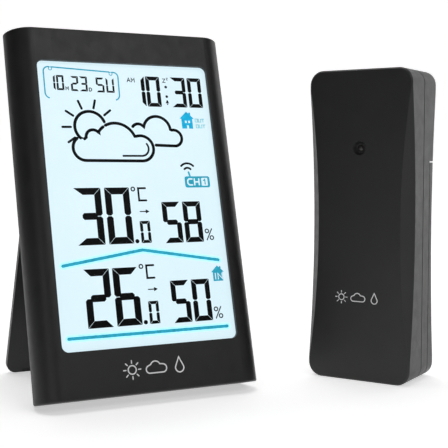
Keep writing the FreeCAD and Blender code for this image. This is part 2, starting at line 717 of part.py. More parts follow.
def sensor_chips():
    y = SENSOR_BOARD_Y[1]
    potted = Part.makeSphere(7.0, Vector(0, y - 5.4, 106)).common(box(-9, 9, y, y + 3, 96, 116))
    led = joined([chip(-1.3, 1.3, LED_Z - 1.3, LED_Z + 1.3, 0.5, SENSOR_BOARD_Y[0] - 0.5)])
    parts = [potted, led]
    for i in range(5):
        parts.append(chip(-12.0 + 5.0 * i, -9.6 + 5.0 * i, 91.0, 92.4, 0.8, y))
    return group(parts)


def sensor_probe():
    """The outdoor temperature and humidity element, low on the board behind the vents."""
    y = SENSOR_BOARD_Y[1]
    return chip(-4.0, 4.0, 14.6, 20.6, 1.6, y).cut(rod_y(0, 17.6, 1.2, y + 1.0, y + 3))


def sensor_antenna():
    """A close-wound helical aerial soldered to the top of the board."""
    y = SENSOR_BOARD_Y[1] + 3.0
    turns = [Part.makeTorus(2.3, 0.35, Vector(-12.0, y, 105.0 + 0.9 * i), Vector(0, 0, 1)) for i in range(10)]
    spine = rod_z(-12.0 + 2.3, y, 0.3, 104.8, 113.3)
    lead = rod_y(-12.0 + 2.3, 105.4, 0.4, SENSOR_BOARD_Y[1], y + 0.1)
    return joined([*turns, spine, lead])


def back_outer():
    """The back case's share of the outside: full depth above the battery door, and only its front part beside it."""
    low = box(-40, 40, SENSOR_PART_Y, DOOR_Y, -5, DOOR_TOP + 0.1)
    high = box(-40, 40, SENSOR_PART_Y, 40, DOOR_TOP, SENSOR_H + 5)
    return sensor_block().common(joined([low, high]))


def sensor_back_case():
    shell = back_outer().cut(sensor_core(SENSOR_WALL)).cut(sensor_seam())
    bulkhead = box(-21.0, 21.0, SENSOR_PART_Y + 1.0, SENSOR_T - 1.2, DOOR_TOP, DOOR_TOP + 1.6)
    bulkhead = bulkhead.common(sensor_block())
    deck = box(-21.6, 21.6, DOOR_Y - 1.6, DOOR_Y, 1.0, DOOR_TOP + 0.5).common(sensor_block())
    w = BAY_WALL
    bay = box(-BAY_HALF - w, BAY_HALF + w, BAY_Y - w, DOOR_Y, BAY_Z[0] - w, BAY_Z[1] + w)
    posts = []
    for x, z in SENSOR_SCREWS:
        y1 = SENSOR_T - 1.0 if z > DOOR_TOP else DOOR_Y - 0.2
        posts.append(rod_y(x, z, 2.9, SENSOR_PART_Y + 0.1, y1).common(sensor_block()))
    body = joined([shell, bulkhead, deck, bay, *posts])
    cuts = [box(-BAY_HALF, BAY_HALF, BAY_Y, 40, *BAY_Z)]
    cuts.append(keyhole(SENSOR_KEYHOLE_Z, KEYHOLE_R, KEYHOLE_SLOT_R, KEYHOLE_RISE + 2.0, SENSOR_T - 5.0, 40))
    for x, z in SENSOR_SCREWS:
        top = SENSOR_T if z > DOOR_TOP else DOOR_Y
        cuts.append(rod_y(x, z, 1.2, 10, 40))
        cuts.append(rod_y(x, z, 2.2, top - 3.0, 40))
    for i in range(5):
        x = -8.0 + 4.0 * i
        cuts.append(box(x - 0.6, x + 0.6, SENSOR_PART_Y + 1.6, DOOR_Y - 2.4, -1, 3))
    cuts.append(box(SWITCH_X - 3.2, SWITCH_X + 3.2, BAY_Y - 3, BAY_Y + 1, CONTROL_Z - 1.7, CONTROL_Z + 1.7))
    cuts.append(rod_y(TX_X, CONTROL_Z, 1.9, BAY_Y - 3, BAY_Y + 1))
    body = body.cut(group(cuts))
    ribs = [box(-0.4, 0.4, BAY_Y - 0.2, 13.0, BAY_Z[0] - 0.2, BATTERY_STOP_Z)]
    ribs.append(box(-BAY_HALF - 0.2, BAY_HALF + 0.2, BAY_Y - 0.2, 19.5, BATTERY_STOP_Z, BATTERY_STOP_Z + 1.2))
    return joined([body, *ribs])


def sensor_battery_door():
    """The rear door: a shell whose sides wrap round to the side seam, with a ridged thumb grip."""
    region = box(-40, 40, DOOR_Y + DOOR_GAP, 40, -5, DOOR_TOP - DOOR_GAP)
    outer = sensor_block().common(region)
    w = SENSOR_WALL
    hollow = rounded_slab(-SENSOR_W / 2 + w, SENSOR_W / 2 - w, w, SENSOR_H, 3.0, 5, SENSOR_T - w)
    for side in (-1, 1):
        cutter = edge_cutter(side, REAR_FACET, False)
        cutter.translate(Vector(-side * 1.3, -1.3, 0))
        hollow = hollow.cut(cutter)
    shell = outer.cut(hollow)
    lip = box(-18.0, 18.0, DOOR_Y + DOOR_GAP, SENSOR_T - w + 0.1, DOOR_TOP - DOOR_GAP - 1.4, DOOR_TOP - DOOR_GAP)
    grips = [box(-8.0, 8.0, SENSOR_T - 0.5, 30, 74.0 + 2.2 * i, 75.1 + 2.2 * i) for i in range(5)]
    return joined([shell, lip]).cut(group(grips))


def sensor_battery(i):
    """Two cells stand side by side, one up and one down."""
    x = (-AA_X, AA_X)[i]
    up = i == 0
    nub = 1.1
    z0 = AA_Z0 if up else BATTERY_STOP_Z - 4.95 - AA_L
    z1 = z0 + AA_L
    body_z = (z0, z1 - nub) if up else (z0 + nub, z1)
    nub_z = (z1 - nub - 0.2, z1) if up else (z0, z0 + nub + 0.2)
    return joined([rod_z(x, AA_Y, AA_R, *body_z), rod_z(x, AA_Y, 2.6, *nub_z)])


def sensor_battery_springs():
    springs = []
    for x, z, way in ((-AA_X, BAY_Z[0], 1), (AA_X, BATTERY_STOP_Z, -1)):
        plate = box(x - 5.5, x + 5.5, BAY_Y, BAY_Y + 9.0, *sorted((z, z + way * 0.4)))
        radii = (4.6, 4.2, 3.8, 3.4, 3.0)
        y = AA_Y - 1.0
        rises = [z + way * (0.75 + 0.88 * k) for k in range(len(radii))]
        coil = [Part.makeTorus(r, 0.5, Vector(x, y, h), Vector(0, 0, 1)) for r, h in zip(radii, rises)]
        springs.append(joined([plate, *coil]))
    return group(springs)


def sensor_battery_contacts():
    plates = []
    for x, z, way in ((AA_X, BAY_Z[0], 1), (-AA_X, BATTERY_STOP_Z, -1)):
        plate = box(x - 5.5, x + 5.5, BAY_Y, BAY_Y + 9.0, *sorted((z, z + way * 0.4)))
        plates.append(joined([plate, rod_z(x, AA_Y - 0.6, 2.4, *sorted((z + way * 0.3, z + way * 0.9)))]))
    return group(plates)


def channel_switch():
    """The three-way slide switch behind its slot in the battery bay."""
    y0, y1 = SENSOR_BOARD_Y[1], BAY_Y - BAY_WALL - 0.1
    body = box(SWITCH_X - 4.5, SWITCH_X + 4.5, y0, y1, CONTROL_Z - 2.0, CONTROL_Z + 2.0)
    return body.cut(box(SWITCH_X - 3.2, SWITCH_X + 3.2, y0 + 1.0, y1 + 1, CONTROL_Z - 0.9, CONTROL_Z + 0.9))


def channel_knob():
    """The knob stands at the first of its three channels."""
    x = SWITCH_X - 2.0
    return box(x - 1.0, x + 1.0, SENSOR_BOARD_Y[1] + 1.2, BAY_Y + 1.2, CONTROL_Z - 0.75, CONTROL_Z + 0.75)


def transmit_switch():
    y0, y1 = SENSOR_BOARD_Y[1], BAY_Y - BAY_WALL - 0.1
    body = box(TX_X - 2.5, TX_X + 2.5, y0, y1, CONTROL_Z - 2.5, CONTROL_Z + 2.5)
    return body.cut(rod_y(TX_X, CONTROL_Z, 1.4, y0 + 0.6, y1 + 1))


def transmit_button():
    return rod_y(TX_X, CONTROL_Z, 1.2, SENSOR_BOARD_Y[1] + 1.7, BAY_Y + 0.6)


def sensor_screws():
    screws = []
    for x, z in SENSOR_SCREWS:
        top = SENSOR_T if z > DOOR_TOP else DOOR_Y
        screws.append(pan_screw(x, z, top - 3.0, 1.9, 1.0, 13.0 if z > DOOR_TOP else 12.0))
    return group(screws)


def sensor_board_screws():
    return group([pan_screw(x, 100.0, SENSOR_BOARD_Y[1], 1.5, 0.8, 4.0, 0.4) for x in (-14.0, 14.0)])


def sensor_seal():
    """The rubber ring in the joint between the sensor's two halves."""
    def ring(inset, y0, y1):
        a = SENSOR_WALL + inset
        r = SENSOR_CORNER - a
        return rounded_slab(-SENSOR_W / 2 + a, SENSOR_W / 2 - a, a, SENSOR_H - a, max(r, 0.5), y0, y1)

    y0, y1 = SENSOR_PART_Y - 0.8, SENSOR_PART_Y + 0.8
    notches = [rod_y(x, z, 3.1, y0 - 1, y1 + 1) for x, z in SENSOR_SCREWS]
    return ring(0.05, y0, y1).cut(ring(0.85, y0 - 1, y1 + 1)).cut(group(notches))


# ---------------------------------------------------------------- the whole part
def console_nodes():
    nodes = {
        "front_bezel": front_bezel(),
        "rear_cover": rear_cover(),
        "display_window": display_window(),
        "lcd_panel": lcd_panel(),
        "lcd_frame": lcd_frame(),
        "light_guide": light_guide(),
        "backlight_leds": backlight_leds(),
        "backlight_strip": backlight_strip(),
        "zebra_strip": zebra_strip(),
        "main_board": main_board(),
        "board_chips": board_chips(),
        "radio_module": radio_module(),
        "radio_antenna": radio_antenna(),
        "buzzer": buzzer(),
        "climate_element": climate_element(),
        "button_switches": button_switches(),
        "snooze_switch": snooze_switch(),
        "snooze_button": snooze_button(),
        "battery_cover": battery_cover(),
        "battery_springs": battery_springs(),
        "battery_contacts": battery_contacts(),
        "case_screws": case_screws(),
        "board_screws": board_screws(),
        "stand_leg": stand_leg(),
        "leg_pads": leg_pads(),
        "hinge_pin_left": hinge_pin(-1),
        "hinge_pin_right": hinge_pin(1),
    }
    for name, x in BUTTONS.items():
        nodes[name] = rear_button(x)
    for i in range(len(AAA_Z)):
        nodes[f"battery_{i + 1}"] = console_battery(i)
    return nodes


def sensor_nodes():
    nodes = {
        "sensor_front_cover": sensor_front_cover(),
        "sensor_back_case": sensor_back_case(),
        "sensor_battery_door": sensor_battery_door(),
        "sensor_led_lens": sensor_led_lens(),
        "sensor_board": sensor_board(),
        "sensor_chips": sensor_chips(),
        "sensor_probe": sensor_probe(),
        "sensor_antenna": sensor_antenna(),
        "sensor_battery_springs": sensor_battery_springs(),
        "sensor_battery_contacts": sensor_battery_contacts(),
        "channel_switch": channel_switch(),
        "channel_knob": channel_knob(),
        "transmit_switch": transmit_switch(),
        "transmit_button": transmit_button(),
        "sensor_screws": sensor_screws(),
        "sensor_board_screws": sensor_board_screws(),
        "sensor_seal": sensor_seal(),
    }
    for i in range(2):
        nodes[f"sensor_battery_{i + 1}"] = sensor_battery(i)
    return nodes


def placed(shape, placement):
    moved = shape.copy()
    moved.Placement = placement.multiply(moved.Placement)
    return moved


def footprint_centre(nodes):
    """The middle of the whole part's bounding box, seen from above."""
    outside = ("front_bezel", "stand_leg", "sensor_front_cover", "sensor_back_case", "sensor_battery_door")
    bounds = group([nodes[n] for n in outside]).optimalBoundingBox(False, False)
    return Vector((bounds.XMin + bounds.XMax) / 2, (bounds.YMin + bounds.YMax) / 2, 0)


def build():
    nodes = {name: placed(shape, CONSOLE_LEAN) for name, shape in console_nodes().items()}
    for name, shape in sensor_nodes().items():
        nodes[name] = placed(shape, SENSOR_STAND)
    centre = footprint_centre(nodes)
    to_row = Placement(centre.negative(), Rotation())
    return {name: placed(shape, to_row) for name, shape in nodes.items()}, to_row


def main():
    os.makedirs("parts", exist_ok=True)
    nodes, to_row = build()
    for name, shape in nodes.items():
        shape.exportStep(f"parts/{name}.step")
    print("nodes", len(nodes), "row shift", tuple(to_row.Base), "leg opens", LEG_OPEN)


if __name__ == "__main__":
    main()
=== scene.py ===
"""Home weather station: display graphics, marks, materials, lights and camera round the fixed CAD frame.

Places in the graphics are in millimetres on the face of the console or the sensor, u to the right and v up from
the middle of the unit's lower front edge. Lights, floor and camera are in metres in the row frame.
"""

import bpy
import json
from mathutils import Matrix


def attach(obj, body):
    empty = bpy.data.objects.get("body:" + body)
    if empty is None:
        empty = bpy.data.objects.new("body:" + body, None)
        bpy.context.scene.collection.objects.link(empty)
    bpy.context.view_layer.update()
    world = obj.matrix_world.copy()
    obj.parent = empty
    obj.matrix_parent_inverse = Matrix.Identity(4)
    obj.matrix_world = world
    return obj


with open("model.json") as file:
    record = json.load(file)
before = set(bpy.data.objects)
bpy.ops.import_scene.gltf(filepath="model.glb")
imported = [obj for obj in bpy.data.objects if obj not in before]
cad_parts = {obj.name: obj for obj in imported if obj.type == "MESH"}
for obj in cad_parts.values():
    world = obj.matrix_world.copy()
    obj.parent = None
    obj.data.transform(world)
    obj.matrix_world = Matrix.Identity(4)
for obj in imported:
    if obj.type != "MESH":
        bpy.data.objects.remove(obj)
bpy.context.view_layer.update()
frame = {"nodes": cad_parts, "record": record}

import json
import math

import bmesh
import bpy
from mathutils import Vector

MM = 0.001
mounts = {m["name"]: m for m in frame["record"]["mounts"]}


# ---------------------------------------------------------------- the two faces
class Face:
    """A flat face in the row frame, with u along it, v up it and d into it."""

    def __init__(self, mount, depth, height):
        """The face lies depth in front of the mount, and its lower edge lies height below it."""
        self.into = Vector(mount["axis"])
        self.right = Vector((self.into.y, -self.into.x, 0)).normalized()
        self.up = self.right.cross(self.into)
        self.origin = Vector(mount["pos_m"]) - self.into * depth * MM - self.up * height * MM

    def at(self, u, v, d=0.0):
        return self.origin + (self.right * u + self.up * v + self.into * d) * MM


console = Face(mounts["console_keyhole"], depth=21.3, height=137.8)
sensor = Face(mounts["sensor_keyhole"], depth=26.1, height=110.0)

# The display lies LCD_DEPTH in from the console's face, and its graphics float LCD_LIFT in front of it.
LCD_DEPTH = 2.33
LCD_LIFT = 0.001
LCD_INK = 0.004
LCD_LAYER = 0.00675
# LCD_GLOW is the strength of the painted glow that stands in for light on the display.
LCD_GLOW = 0.95
MARK_INK = 0.02


# ---------------------------------------------------------------- materials
NOISE_LOW = 0.3
NOISE_HIGH = 0.7


def node_material(name):
    mat = bpy.data.materials.new(name)
    mat.use_nodes = True
    tree = mat.node_tree
    return mat, tree, tree.nodes["Principled BSDF"]


def noise(tree, scale, detail=4.0):
    """Noise in the row frame, its scale in features per metre."""
    coord = tree.nodes.new("ShaderNodeTexCoord")
    tex = tree.nodes.new("ShaderNodeTexNoise")
    tex.inputs["Scale"].default_value = scale
    tex.inputs["Detail"].default_value = detail
    tex.inputs["Roughness"].default_value = 0.55
    tree.links.new(coord.outputs["Object"], tex.inputs["Vector"])
    return tex.outputs["Fac"]


def ramp(tree, source, low, high):
    """A colour that runs from low to high over the middle of the source's range."""
    node = tree.nodes.new("ShaderNodeValToRGB")
    node.color_ramp.elements[0].position = NOISE_LOW
    node.color_ramp.elements[0].color = (*low, 1.0)
    node.color_ramp.elements[1].position = NOISE_HIGH
    node.color_ramp.elements[1].color = (*high, 1.0)
    tree.links.new(source, node.inputs["Fac"])
    return node.outputs["Color"]


def span(tree, source, low, high):
    """A value that runs from low to high over the middle of the source's range."""
    node = tree.nodes.new("ShaderNodeMapRange")
    node.inputs["From Min"].default_value = NOISE_LOW
    node.inputs["From Max"].default_value = NOISE_HIGH
    node.inputs["To Min"].default_value = low
    node.inputs["To Max"].default_value = high
    tree.links.new(source, node.inputs["Value"])
    return node.outputs["Result"]


def bump(tree, bsdf, source, strength, distance):
    node = tree.nodes.new("ShaderNodeBump")
    node.inputs["Strength"].default_value = strength
    node.inputs["Distance"].default_value = distance
    tree.links.new(source, node.inputs["Height"])
    tree.links.new(node.outputs["Normal"], bsdf.inputs["Normal"])


def moulded(name, color, rough, grain=5200.0, depth=0.00004, spread=0.12, metal=0.0, strength=0.35):
    """Moulded or plated stuff: slow patches of tone, patchy gloss and a fine spark-eroded grain."""
    mat, tree, bsdf = node_material(name)
    low = tuple(c * (1 - spread) for c in color)
    high = tuple(min(1.0, c * (1 + spread)) for c in color)
    patches = noise(tree, 60.0, 3.0)
    fine = noise(tree, grain, 2.0)
    gloss = noise(tree, 240.0, 5.0)
    tree.links.new(ramp(tree, patches, low, high), bsdf.inputs["Base Color"])
    tree.links.new(span(tree, gloss, rough * 0.9, min(1.0, rough * 1.12)), bsdf.inputs["Roughness"])
    bsdf.inputs["Metallic"].default_value = metal
    bump(tree, bsdf, fine, strength, depth)
    return mat


def painted_glow_panel():
    """The liquid crystal face: pale, with a painted glow that keeps it evenly bright and unshaded, and a faint
    pixel-fine grain.
    """
    mat, tree, bsdf = node_material("lcd_painted_glow")
    tone = ramp(tree, noise(tree, 35.0, 2.0), (0.715, 0.895, 0.965), (0.735, 0.91, 0.975))
    glass = ramp(tree, noise(tree, 90.0, 2.0), (0.15, 0.17, 0.18), (0.18, 0.20, 0.21))
    tree.links.new(glass, bsdf.inputs["Base Color"])
    # The emission is painted glow; the dark base keeps shading from showing through it.
    tree.links.new(tone, bsdf.inputs["Emission Color"])
    bsdf.inputs["Emission Strength"].default_value = LCD_GLOW
    tree.links.new(span(tree, noise(tree, 900.0, 2.0), 0.32, 0.4), bsdf.inputs["Roughness"])
    bump(tree, bsdf, noise(tree, 9000.0, 1.0), 0.1, 0.00001)
    return mat


def window_material():
    """A clear hard sheet: see-through, with a soft reflection that takes over at grazing angles."""
    mat = bpy.data.materials.new("window_clear")
    mat.use_nodes = True
    tree = mat.node_tree
    tree.nodes.clear()
    clear = tree.nodes.new("ShaderNodeBsdfTransparent")
    clear.inputs["Color"].default_value = (0.985, 0.992, 0.995, 1.0)
    shine = tree.nodes.new("ShaderNodeBsdfPrincipled")
    shine.inputs["Base Color"].default_value = (0.02, 0.02, 0.02, 1.0)
    tree.links.new(span(tree, noise(tree, 300.0, 3.0), 0.1, 0.16), shine.inputs["Roughness"])
    edge = tree.nodes.new("ShaderNodeFresnel")
    edge.inputs["IOR"].default_value = 1.18
    mix = tree.nodes.new("ShaderNodeMixShader")
    out = tree.nodes.new("ShaderNodeOutputMaterial")
    tree.links.new(edge.outputs["Fac"], mix.inputs["Fac"])
    tree.links.new(clear.outputs["BSDF"], mix.inputs[1])
    tree.links.new(shine.outputs["BSDF"], mix.inputs[2])
    tree.links.new(mix.outputs["Shader"], out.inputs["Surface"])
    return mat


def ink(name, color, glow=0.0):
    """Matt printing ink; where it glows, the glow is painted light that keeps the printed colour bright."""
    mat, tree, bsdf = node_material(name)
    low = tuple(c * 0.85 for c in color)
    high = tuple(c * 1.15 for c in color)
    tone = ramp(tree, noise(tree, 700.0, 3.0), low, high)
    tree.links.new(tone, bsdf.inputs["Base Color"])
    if glow:
        tree.links.new(tone, bsdf.inputs["Emission Color"])
        bsdf.inputs["Emission Strength"].default_value = glow
    bsdf.inputs["Specular IOR Level"].default_value = 0.1
    tree.links.new(span(tree, noise(tree, 1500.0, 2.0), 0.4, 0.55), bsdf.inputs["Roughness"])
    return mat


def board_material():
    """Green solder mask with a faint pattern of tracks under it."""
    mat, tree, bsdf = node_material("board")
    coord = tree.nodes.new("ShaderNodeTexCoord")
    brick = tree.nodes.new("ShaderNodeTexBrick")
    brick.inputs["Scale"].default_value = 420.0
    brick.inputs["Color1"].default_value = (0.012, 0.12, 0.05, 1.0)
    brick.inputs["Color2"].default_value = (0.016, 0.15, 0.06, 1.0)
    brick.inputs["Mortar"].default_value = (0.03, 0.22, 0.09, 1.0)
    tree.links.new(coord.outputs["Object"], brick.inputs["Vector"])
    tree.links.new(brick.outputs["Color"], bsdf.inputs["Base Color"])
    tree.links.new(span(tree, noise(tree, 500.0), 0.3, 0.42), bsdf.inputs["Roughness"])
    bump(tree, bsdf, brick.outputs["Fac"], 0.3, 0.00003)
    return mat


def cell_material():
    """A glossy printed battery sleeve in uneven dark green."""
    mat, tree, bsdf = node_material("cell_sleeve")
    tone = ramp(tree, noise(tree, 45.0, 1.0), (0.03, 0.12, 0.10), (0.06, 0.26, 0.19))
    tree.links.new(tone, bsdf.inputs["Base Color"])
    tree.links.new(span(tree, noise(tree, 800.0), 0.22, 0.32), bsdf.inputs["Roughness"])
    bsdf.inputs["Metallic"].default_value = 0.35
    return mat


MATERIALS = {
    "console_black": moulded("console_black", (0.0078, 0.0078, 0.0080), 0.42),
    "sensor_grey": moulded("sensor_grey", (0.0125, 0.0125, 0.0128), 0.44),
    "button_grey": moulded("button_grey", (0.022, 0.022, 0.023), 0.5),
    "clear_window": window_material(),
    "lcd_glass": painted_glow_panel(),
    "guide_white": moulded("guide_white", (0.82, 0.86, 0.88), 0.35, spread=0.03),
    "board_green": board_material(),
    "parts_black": moulded("parts_black", (0.016, 0.016, 0.017), 0.5),
    "parts_white": moulded("parts_white", (0.72, 0.73, 0.72), 0.5, spread=0.05),
    "rubber_black": moulded("rubber_black", (0.014, 0.014, 0.014), 0.82, grain=2600.0, depth=0.0001),
    "plated_steel": moulded("plated_steel", (0.60, 0.60, 0.59), 0.28, grain=3500.0, spread=0.1, metal=1.0),
    "aerial_copper": moulded("aerial_copper", (0.66, 0.33, 0.18), 0.3, spread=0.12, metal=1.0),
    "cell_sleeve": cell_material(),
    "led_lens": moulded("led_lens", (0.035, 0.033, 0.032), 0.12, spread=0.08, strength=0.05),
}
BLACK = ink("ink_black", (0.004, 0.004, 0.005))
# Printed colours with a painted glow on top, which keeps them bright whatever the lamps do.
TEAL_INK_AND_GLOW = ink("ink_teal_and_painted_glow", (0.024, 0.300, 0.420), 0.85)
BLUE_INK_AND_GLOW = ink("ink_blue_and_painted_glow", (0.010, 0.370, 0.620), 0.8)
PALE_INK_AND_GLOW = ink("ink_pale_and_painted_glow", (0.230, 0.560, 0.640), 0.7)
# A painted glow of light cyan that goes round the teal lines.
PAINTED_GLOW_HALO = ink("painted_glow_halo", (0.400, 0.840, 0.960), 0.95)
SILVER = moulded("mark_silver", (0.80, 0.80, 0.81), 0.42, spread=0.08)

slots = {s["node"]: s["material_slot"] for s in frame["record"]["subparts"]}
for node, obj in frame["nodes"].items():
    if not obj.material_slots:
        obj.data.materials.append(None)
    for material_slot in obj.material_slots:
        material_slot.material = MATERIALS[slots[node]]


# ---------------------------------------------------------------- drawing on a face
def arc(cu, cv, r, start, end, steps=28):
    """Points round a circle, angles in degrees."""
    turn = [math.radians(start + (end - start) * i / steps) for i in range(steps + 1)]
    return [(cu + r * math.cos(t), cv + r * math.sin(t)) for t in turn]


def stroke(points, width, closed=False):
    """The faces of a line of that width, mitred at its corners, with round ends unless it is closed."""
    pts = [Vector(p) for p in points]
    n = len(pts)
    left, right = [], []
    for i, p in enumerate(pts):
        before = pts[(i - 1) % n] if closed or i > 0 else None
        after = pts[(i + 1) % n] if closed or i < n - 1 else None
        a = (p - before).normalized() if before else (after - p).normalized()
        b = (after - p).normalized() if after else a
        mid = (a + b).normalized()
        normal = Vector((-mid.y, mid.x))
        reach = width / 2 / max(0.5, mid.dot(a))
        left.append(p + normal * reach)
        right.append(p - normal * reach)
    last = n if closed else n - 1
    faces = [[left[i], left[(i + 1) % n], right[(i + 1) % n], right[i]] for i in range(last)]
    if not closed:
        for p, q in ((pts[0], pts[1]), (pts[-1], pts[-2])):
            away = math.degrees(math.atan2(p.y - q.y, p.x - q.x))
            faces.append([Vector(c) for c in arc(p.x, p.y, width / 2, away - 90, away + 90, 10)])
    return faces


def ray_line(centre, turn, r0, r1):
    """The two ends of a line that points away from a centre, from one radius to another."""
    c, s = math.cos(math.radians(turn)), math.sin(math.radians(turn))
    return [(centre[0] + r0 * c, centre[1] + r0 * s), (centre[0] + r1 * c, centre[1] + r1 * s)]


def ring(cu, cv, r, width, steps=20):
    return stroke(arc(cu, cv, r, 0, 345, steps), width, True)


def disc(cu, cv, r):
    return [[Vector(p) for p in arc(cu, cv, r, 0, 345, 23)]]


def polygon(points):
    return [[Vector(p) for p in points]]


def print_on(name, face, polygons, mat, body, depth, thick):
    """Thin printed pieces, their backs at that depth in from the face, built as closed slabs."""
    mesh = bpy.data.meshes.new(name)
    bm = bmesh.new()
    for poly in polygons:
        front = [bm.verts.new(face.at(p[0], p[1], depth - thick)) for p in poly]
        back = [bm.verts.new(face.at(p[0], p[1], depth)) for p in poly]
        n = len(poly)
        bm.faces.new(front)
        bm.faces.new(list(reversed(back)))
        for i in range(n):
            bm.faces.new([front[i], back[i], back[(i + 1) % n], front[(i + 1) % n]])
    bmesh.ops.recalc_face_normals(bm, faces=bm.faces)
    bm.to_mesh(mesh)
    bm.free()
    obj = bpy.data.objects.new(name, mesh)
    bpy.context.scene.collection.objects.link(obj)
    obj.data.materials.append(mat)
    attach(obj, body)


SEGMENTS = {
    "0": "abcdef",
    "1": "bc",
    "2": "abged",
    "3": "abgcd",
    "5": "afgcd",
    "6": "afgecd",
    "8": "abcdefg",
    "S": "afgcd",
    "U": "bcdef",
    "C": "afed",
}


def digit(sign, u, v, size, gap):
    """One seven-segment sign: mitred outer corners, thin gaps and chamfered waist ends."""
    w, h, t = size
    m, g = h / 2, gap
    c = t * 0.28

    def upright(x, s, low, high):
        """An upright segment with its outer edge at x; s is 1 where inwards is to the right."""
        return [
            (x, low + g + c),
            (x + s * c, low + g),
            (x + s * (t - c), low + g),
            (x + s * t, low + g + c),
            (x + s * t, high - g - t),
            (x, high - g * 0.4),
        ]

    def flipped(points):
        return [(x, h - y) for x, y in points]

    shapes = {
        "a": [(g * 1.2, h), (w - g * 1.2, h), (w - t - g * 0.2, h - t), (t + g * 0.2, h - t)],
        "f": upright(0, 1, m, h),
        "b": upright(w, -1, m, h),
        "e": flipped(upright(0, 1, m, h)),
        "c": flipped(upright(w, -1, m, h)),
    }
    shapes["d"] = flipped(shapes["a"])
    left, right = t * 0.72 + g, w - t * 0.72 - g
    k = t / 2
    shapes["g"] = [
        (left, m - k * 0.45),
        (left, m + k * 0.45),
        (left + k * 0.55, m + k),
        (right - k * 0.55, m + k),
        (right, m + k * 0.45),
        (right, m - k * 0.45),
        (right - k * 0.55, m - k),
        (left + k * 0.55, m - k),
    ]
    if sign == "3":
        shapes["a"][0] = (-t * 0.25, h)
        shapes["a"][3] = (t * 1.05, h - t)
        shapes["d"] = flipped(shapes["a"])
    return [[Vector((u + x, v + y)) for x, y in shapes[s]] for s in SEGMENTS[sign]]


def digits(text, places, v, size, gap=0.1):
    """A row of signs, each of that width, height and segment thickness, at its own u."""
    out = []
    for sign, u in zip(text, places):
        out += digit(sign, u, v, size, gap)
    return out


# Letters as lines in a box 0.8 wide and 1 high.
LETTERS = {
    "A": [[(0, 0), (0.4, 1), (0.8, 0)], [(0.16, 0.35), (0.64, 0.35)]],
    "M": [[(0, 0), (0, 1), (0.4, 0.4), (0.8, 1), (0.8, 0)]],
    "D": [[(0, 0), (0, 1), (0.45, 1), (0.75, 0.7), (0.75, 0.3), (0.45, 0), (0, 0)]],
    "Z": [[(0, 1), (0.75, 1), (0, 0), (0.75, 0)]],
    "C": [[(0.8, 1), (0.25, 1), (0, 0.75), (0, 0.25), (0.25, 0), (0.8, 0)]],
    "H": [[(0, 0), (0, 1)], [(0.8, 0), (0.8, 1)], [(0, 0.5), (0.8, 0.5)]],
    "I": [[(0.2, 0), (0.2, 1)]],
    "N": [[(0, 0), (0, 1), (0.8, 0), (0.8, 1)]],
    "O": [[(0, 0), (0, 1), (0.8, 1), (0.8, 0), (0, 0)]],
    "U": [[(0, 1), (0, 0), (0.8, 0), (0.8, 1)]],
    "T": [[(0.4, 0), (0.4, 1)], [(0, 1), (0.8, 1)]],
    "1": [[(0.15, 0.75), (0.45, 1), (0.45, 0)]],
}


def word(text, u, v, h, width, pitch=1.15):
    out = []
    for i, sign in enumerate(text):
        for line in LETTERS[sign]:
            out += stroke([(u + h * (x + pitch * i), v + h * y) for x, y in line], width)
    return out


def percent(u, v, h, width):
    """A percent sign: a slanted line between two rings."""
    r = h * 0.17
    out = stroke([(u + 0.1 * h, v), (u + 0.66 * h, v + h)], width)
    out += ring(u + r, v + h - r * 1.1, r, width)
    return out + ring(u + 0.76 * h - r, v + r * 1.1, r, width)


def arrow(u, v, length):
    neck, half = u + length * 0.6, 0.85
    head = polygon([(u + length, v), (neck, v + half), (neck, v - half)])
    return stroke([(u, v), (u + length * 0.7, v)], 0.42) + head


# Width, height and segment thickness of each size of digit.
TEMPERATURE = (10.3, 22.6, 2.75)
HUMIDITY = (7.9, 16.8, 2.1)
DECIMAL = (4.3, 8.9, 1.25)
CLOCK = (6.2, 12.9, 1.62)
MONTH = (3.0, 6.2, 0.8)
DAY = (3.1, 6.2, 0.8)
WEEKDAY = (3.4, 6.2, 0.8)


def climate_row(v, number, decimal, humidity, unit_v, shift):
    """One row: a large temperature with its unit and trend, and the humidity."""
    out = digits(number, (-24.9 + shift, -13.1), v, TEMPERATURE, 0.11)
    out += disc(-1.45, v + 0.85, 0.85)
    out += digits(decimal, (0.3,), v, DECIMAL)
    out += ring(-1.1, unit_v + 4.9, 0.75, 0.5)
    top, foot = unit_v + 5.2, unit_v + 0.2
    out += stroke([(4.1, top), (1.1, top), (1.1, foot), (4.1, foot)], 0.8)
    out += arrow(1.0, unit_v - 4.3, 4.0)
    out += digits(humidity, (10.4, 19.4), v - 0.4, HUMIDITY, 0.11)
    return out + percent(28.3, v + 0.3, 4.5, 0.46)


def weather_picture():
    """A sun behind a large cloud, and a smaller cloud behind that."""
    sun = (-16.2, 105.3)
    line = 1.25
    out = stroke(arc(*sun, 6.35, 20, 226), line)
    for turn in (38, 75, 111, 146, 181, 214):
        out += stroke(ray_line(sun, turn, 8.0, 11.3), 0.95)
    left_lobe = [(-19.0, 100.4), *arc(-15.3, 101.1, 3.0, 182, 36), *arc(-5.9, 98.4, 8.6, 146, 126, 8)]
    crown = arc(-5.9, 98.4, 8.6, 117, 22)
    body = [*crown, *arc(4.4, 96.65, 5.25, 106, -90), *arc(-19.0, 96.6, 5.0, 270, 128)]
    out += stroke(left_lobe, line) + stroke(body, line)
    out += disc(-11.0, 105.1, 0.4) + disc(-10.2, 106.0, 0.36)
    out += disc(-21.0, 101.1, 0.4) + disc(-19.9, 100.7, 0.38)
    out += stroke([(-3.6, 93.5), *arc(4.4, 96.6, 3.1, -90, 38)], 0.8)
    far_top = [*arc(4.0, 103.9, 2.95, 142, 48), *arc(12.1, 104.3, 5.85, 166, 4)]
    return out + stroke([*far_top, *arc(19.2, 101.1, 3.4, 102, -84), (10.9, 98.0)], line)


